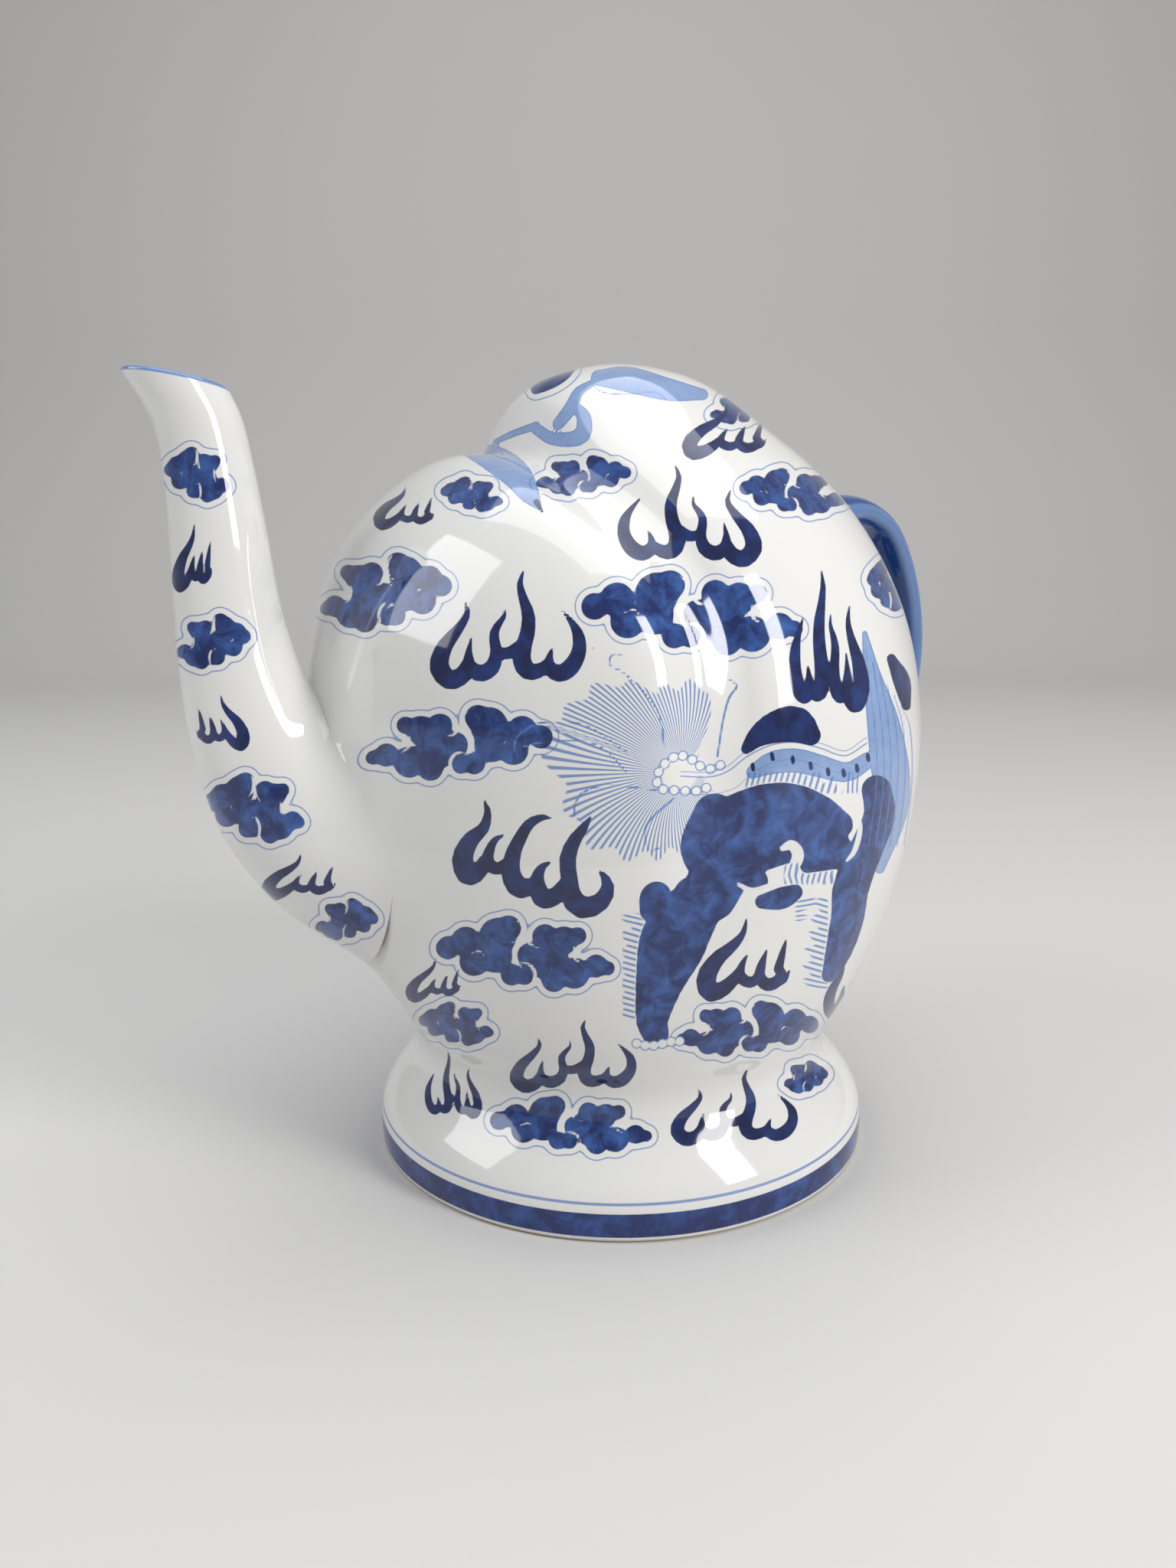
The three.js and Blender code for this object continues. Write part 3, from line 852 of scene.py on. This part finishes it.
# Materials
class Nodes:
    """A small helper for building node trees."""

    def __init__(self, name):
        self.mat = bpy.data.materials.new(name)
        self.mat.use_nodes = True
        self.tree = self.mat.node_tree
        self.tree.nodes.clear()
        self.out = self.new("ShaderNodeOutputMaterial")
        self.bsdf = self.new("ShaderNodeBsdfPrincipled")
        self.tree.links.new(self.bsdf.outputs[0], self.out.inputs[0])

    def new(self, kind, **props):
        node = self.tree.nodes.new(kind)
        for k, v in props.items():
            setattr(node, k, v)
        return node

    def link(self, a, b):
        self.tree.links.new(a, b)

    def math(self, op, a, b=None, clamp=False):
        node = self.new("ShaderNodeMath", operation=op, use_clamp=clamp)
        for i, v in enumerate((a, b)):
            if v is None:
                continue
            if isinstance(v, (int, float)):
                node.inputs[i].default_value = v
            else:
                self.link(v, node.inputs[i])
        return node.outputs[0]

    def attr(self, name):
        return self.new("ShaderNodeAttribute", attribute_name=name).outputs["Fac"]

    def below(self, value, edge, soft):
        """1 where value is under edge - soft, 0 where it is over edge + soft."""
        node = self.new("ShaderNodeMapRange", interpolation_type="SMOOTHSTEP")
        self.link(value, node.inputs["Value"])
        node.inputs["From Min"].default_value = edge - soft
        node.inputs["From Max"].default_value = edge + soft
        node.inputs["To Min"].default_value = 1.0
        node.inputs["To Max"].default_value = 0.0
        return node.outputs["Result"]

    def spread(self, value, low, high):
        """Stretches the values from low to high over 0 to 1."""
        node = self.new("ShaderNodeMapRange")
        self.link(value, node.inputs["Value"])
        node.inputs["From Min"].default_value = low
        node.inputs["From Max"].default_value = high
        return node.outputs[0]

    def mix(self, fac, a, b):
        node = self.new("ShaderNodeMix", data_type="RGBA")
        sockets = [s for s in node.inputs if s.enabled]
        for socket, v in zip(sockets, (fac, a, b)):
            if isinstance(v, (int, float)):
                socket.default_value = v
            elif isinstance(v, tuple):
                socket.default_value = (*v, 1.0)
            else:
                self.link(v, socket)
        return [s for s in node.outputs if s.enabled][0]

    def noise(self, scale, detail=4.0, rough=0.55, distort=0.0):
        coords = self.new("ShaderNodeTexCoord").outputs["Object"]
        node = self.new("ShaderNodeTexNoise")
        self.link(coords, node.inputs["Vector"])
        node.inputs["Scale"].default_value = scale
        node.inputs["Detail"].default_value = detail
        node.inputs["Roughness"].default_value = rough
        node.inputs["Distortion"].default_value = distort
        return node.outputs[0]

    def bump(self, height, strength, distance):
        node = self.new("ShaderNodeBump")
        node.inputs["Strength"].default_value = strength
        node.inputs["Distance"].default_value = distance
        self.link(height, node.inputs["Height"])
        self.link(node.outputs[0], self.bsdf.inputs["Normal"])


WHITE_A = (0.745, 0.742, 0.722)
WHITE_B = (0.690, 0.692, 0.680)
SPECK = (0.30, 0.30, 0.30)
DARK_A = (0.004, 0.010, 0.060)
DARK_B = (0.010, 0.034, 0.165)
CLOUD_A = (0.006, 0.018, 0.105)
CLOUD_B = (0.036, 0.105, 0.345)
BAND_B = (0.02, 0.07, 0.27)
LINE = (0.07, 0.18, 0.47)
PALE = (0.22, 0.37, 0.63)
STREAK = (0.085, 0.19, 0.47)
BARE = (0.52, 0.45, 0.36)
HALO_GAP = 7.5  # from a cloud's edge to its outline
SPINE_LINES = ((2.0, 0.8), (8.0, 0.5), (-20.0, 0.35))  # offset from the spine, half width


def add_washes(n, col, wobble):
    """Pale brushed washes with a finer, darker edge."""
    wash = n.attr("wash")
    inside = n.below(n.math("ADD", wash, wobble), 0.0, 0.8)
    streak = n.noise(150.0, 5.0, 0.65, 1.2)
    pale = n.mix(n.math("MULTIPLY", streak, 1.25, True), PALE, STREAK)
    col = n.mix(n.math("MULTIPLY", inside, 0.86), col, pale)
    edge = n.below(n.math("ABSOLUTE", n.math("ADD", wash, 0.3)), 0.7, 0.5)
    return n.mix(n.math("MULTIPLY", edge, 0.7), col, LINE)


def add_hairs(n, col):
    wave = n.math("ABSOLUTE", n.math("SUBTRACT", n.math("FRACT", n.attr("hair")), 0.5))
    strand = n.below(wave, 0.2, 0.08)
    mask = n.below(n.attr("hair_mask"), 0.0, 2.0)
    return n.mix(n.math("MULTIPLY", n.math("MULTIPLY", strand, mask), 0.85), col, LINE)


def add_clouds(n, col, wobble, mottle):
    """Mottled cobalt with white cuts; clouds also have a white gap and a fine outline."""
    cloud = n.attr("cloud")
    gap = n.math("ABSOLUTE", n.math("SUBTRACT", cloud, HALO_GAP))
    col = n.mix(n.math("MULTIPLY", n.below(gap, 0.75, 0.8), 0.85), col, LINE)
    in_cloud = n.below(n.math("ADD", cloud, wobble), 0.0, 0.7)
    in_coat = n.below(n.math("ADD", n.attr("coat"), wobble), 0.0, 0.7)
    cut = n.math("MULTIPLY", n.below(n.attr("curl"), 0.0, 0.8), 0.95)
    inside = n.math("MAXIMUM", in_cloud, in_coat)
    inside = n.math("MULTIPLY", inside, n.math("SUBTRACT", 1.0, cut))
    return n.mix(inside, col, n.mix(mottle, CLOUD_A, CLOUD_B))


def add_pearls(n, col):
    """White discs with a fine outline."""
    pearl = n.attr("pearl")
    col = n.mix(n.below(pearl, 0.0, 0.5), col, WHITE_A)
    edge = n.below(n.math("ABSOLUTE", pearl), 0.75, 0.6)
    return n.mix(n.math("MULTIPLY", edge, 0.85), col, LINE)


def add_lines(n, col, wobble, mottle):
    """The lines along the spine, the fine brush lines, then the solid dark strokes."""
    offset = n.attr("spine")
    on_spine = n.below(n.attr("spine_mask"), 0.0, 1.0)
    for place, width in SPINE_LINES:
        near = n.below(n.math("ABSOLUTE", n.math("SUBTRACT", offset, place)), width, 0.7)
        col = n.mix(n.math("MULTIPLY", n.math("MULTIPLY", near, on_spine), 0.85), col, LINE)
    col = n.mix(n.math("MULTIPLY", n.below(n.attr("line"), 0.0, 0.7), 0.9), col, LINE)
    dark = n.math("ADD", n.attr("dark"), n.math("MULTIPLY", wobble, 0.5))
    return n.mix(n.below(dark, 0.0, 0.6), col, n.mix(mottle, DARK_A, DARK_B))


def add_foot_band(n, col, wobble, mottle):
    band = n.math("ADD", n.attr("band"), n.math("MULTIPLY", wobble, 0.06))
    col = n.mix(n.below(band, 0.0, 0.12), col, n.mix(mottle, CLOUD_A, BAND_B))
    thin = n.below(n.attr("thin"), 0.0, 0.12)
    return n.mix(n.math("MULTIPLY", thin, 0.8), col, LINE)


def gloss(n, rough):
    """The glaze's own shine and its faint waviness."""
    n.link(rough, n.bsdf.inputs["Roughness"])
    n.bsdf.inputs["Coat Weight"].default_value = 0.35
    n.bsdf.inputs["Coat Roughness"].default_value = 0.03
    n.bump(n.noise(34.0, 3.0, 0.5), 0.10, 0.0016)


def glaze_material(name, foot=False):
    n = Nodes(name)
    col = n.mix(n.noise(14.0, 3.0), WHITE_A, WHITE_B)
    speck = n.below(n.noise(420.0, 2.0, 0.7), 0.235, 0.012)
    col = n.mix(n.math("MULTIPLY", speck, 0.35), col, SPECK)
    wobble = n.math("MULTIPLY", n.math("SUBTRACT", n.noise(260.0, 3.0, 0.6), 0.5), 1.9)
    mottle = n.spread(n.noise(190.0, 6.0, 0.6, 0.6), 0.42, 0.68)
    col = add_washes(n, col, wobble)
    col = add_hairs(n, col)
    col = add_clouds(n, col, wobble, mottle)
    col = add_pearls(n, col)
    col = add_lines(n, col, wobble, mottle)
    rough = n.math("ADD", n.math("MULTIPLY", n.noise(60.0, 3.0), 0.05), 0.045)
    if foot:
        col = add_foot_band(n, col, wobble, mottle)
        bare = n.below(n.attr("bare"), 0.9, 0.25)
        col = n.mix(bare, col, BARE)
        rough = n.math("ADD", rough, n.math("MULTIPLY", bare, 0.6))
    n.link(col, n.bsdf.inputs["Base Color"])
    n.bsdf.inputs["IOR"].default_value = 1.5
    gloss(n, rough)
    return n.mat


def handle_material():
    n = Nodes("cobalt_wash")
    edge = n.attr("edge")
    streak = n.noise(90.0, 5.0, 0.6, 0.8)
    blue = n.mix(streak, (0.008, 0.034, 0.155), (0.030, 0.100, 0.330))
    lip = n.math("SUBTRACT", 1.0, n.below(edge, 0.9, 0.06))
    col = n.mix(n.math("MULTIPLY", lip, 0.45), blue, (0.22, 0.34, 0.55))
    n.link(col, n.bsdf.inputs["Base Color"])
    gloss(n, n.math("ADD", n.math("MULTIPLY", n.noise(60.0, 3.0), 0.05), 0.05))
    return n.mat


def biscuit_material():
    n = Nodes("bare_biscuit")
    tone = n.noise(120.0, 6.0, 0.65)
    col = n.mix(tone, (0.60, 0.55, 0.47), (0.50, 0.44, 0.36))
    n.link(col, n.bsdf.inputs["Base Color"])
    n.bsdf.inputs["Roughness"].default_value = 0.8
    n.bump(n.noise(900.0, 4.0, 0.7), 0.3, 0.0004)
    return n.mat


def stage_material():
    n = Nodes("studio_paper")
    tone = n.noise(3.0, 2.0)
    col = n.mix(tone, (0.60, 0.595, 0.59), (0.62, 0.615, 0.61))
    n.link(col, n.bsdf.inputs["Base Color"])
    n.bsdf.inputs["Roughness"].default_value = 0.7
    n.bsdf.inputs["Specular IOR Level"].default_value = 0.2
    return n.mat


# Pieces
painted = glaze_material("painted_glaze")
foot_glaze = glaze_material("painted_foot_glaze", foot=True)
cobalt = handle_material()
biscuit = biscuit_material()


def dress(piece, material, slot_name, *nodes):
    piece.data.materials.append(material)
    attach(piece, "root")
    if nodes:
        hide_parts(*nodes)


fruit, lining = make_body()
dress(fruit, painted, "glaze", "body_front_half", "body_back_half")
dress(lining, biscuit, "biscuit")
spout = make_spout()
dress(spout, painted, "glaze", "spout_front_half", "spout_back_half")
handle = make_handle()
dress(handle, cobalt, "cobalt", "handle")
foot = make_foot()
dress(foot, foot_glaze, "glaze", "foot_ring")
for name in ("floor_plate", "filling_tube"):
    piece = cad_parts[name]
    for s in piece.material_slots:
        s.material = biscuit
    if not piece.material_slots:
        piece.data.materials.append(biscuit)


# Stage, light and camera
def make_stage():
    half, back, rise = 1.6, 1.5, 1.9
    radius = 0.45
    forward = to_pot([0, 1, 0])
    side = to_pot([1, 0, 0])
    profile = [(-1.6, 0.0), (-0.6, 0.0), (0.3, 0.0), (back - radius, 0.0)]
    for i in range(1, 13):
        a = i / 12 * math.pi / 2
        profile.append((back - radius + radius * math.sin(a), radius - radius * math.cos(a)))
    profile.append((back, rise))
    verts, faces = [], []
    for y, z in profile:
        for x in (-half, -half / 3, half / 3, half):
            p = forward * y + side * x
            verts.append((p[0] * 1000, p[1] * 1000, z * 1000))
    for i in range(len(profile) - 1):
        for j in range(3):
            a = i * 4 + j
            faces.append([a, a + 1, a + 5, a + 4])
    obj = new_mesh("studio_floor", verts, faces)
    obj.data.materials.append(stage_material())


make_stage()


def area_light(name, place, target, size, energy, colour=(1, 1, 1)):
    """place and target are in the camera's own directions: right, away and up, in metres."""
    data = bpy.data.lights.new(name, "AREA")
    data.shape = "RECTANGLE"
    data.size, data.size_y = size
    data.energy = energy
    data.color = colour
    obj = bpy.data.objects.new(name, data)
    bpy.context.scene.collection.objects.link(obj)
    obj.location = Vector(to_pot(place))
    aim = Vector(to_pot(target)) - obj.location
    obj.rotation_euler = aim.to_track_quat("-Z", "Y").to_euler()
    return obj


area_light("window_right", (0.75, -0.55, 0.55), (0, 0, 0.11), (0.26, 0.62), 7.0, (1, 0.985, 0.96))
area_light("window_left", (-0.95, -0.25, 0.75), (0, 0, 0.10), (0.6, 0.7), 4.5, (0.96, 0.98, 1))
area_light("ceiling", (0.1, 0.1, 1.5), (0, 0, 0), (1.4, 1.4), 11.0)

world = bpy.data.worlds.new("studio")
bpy.context.scene.world = world
world.use_nodes = True
world.node_tree.nodes["Background"].inputs[0].default_value = (0.82, 0.82, 0.82, 1)
world.node_tree.nodes["Background"].inputs[1].default_value = 0.45

camera_data = bpy.data.cameras.new("camera")
camera_data.sensor_fit = "VERTICAL"
camera_data.sensor_height = 36.0
camera_data.lens = FOCAL_PX / IMAGE_HEIGHT_PX * 36.0
camera = bpy.data.objects.new("camera", camera_data)
bpy.context.scene.collection.objects.link(camera)
rotation = Matrix([CAM_RIGHT, CAM_UP, -CAM_FWD]).transposed().to_4x4()
camera.matrix_world = Matrix.Translation(Vector(shift(CAM_POS) * MM)) @ rotation
bpy.context.scene.camera = camera
bpy.context.scene.view_settings.view_transform = "Standard"
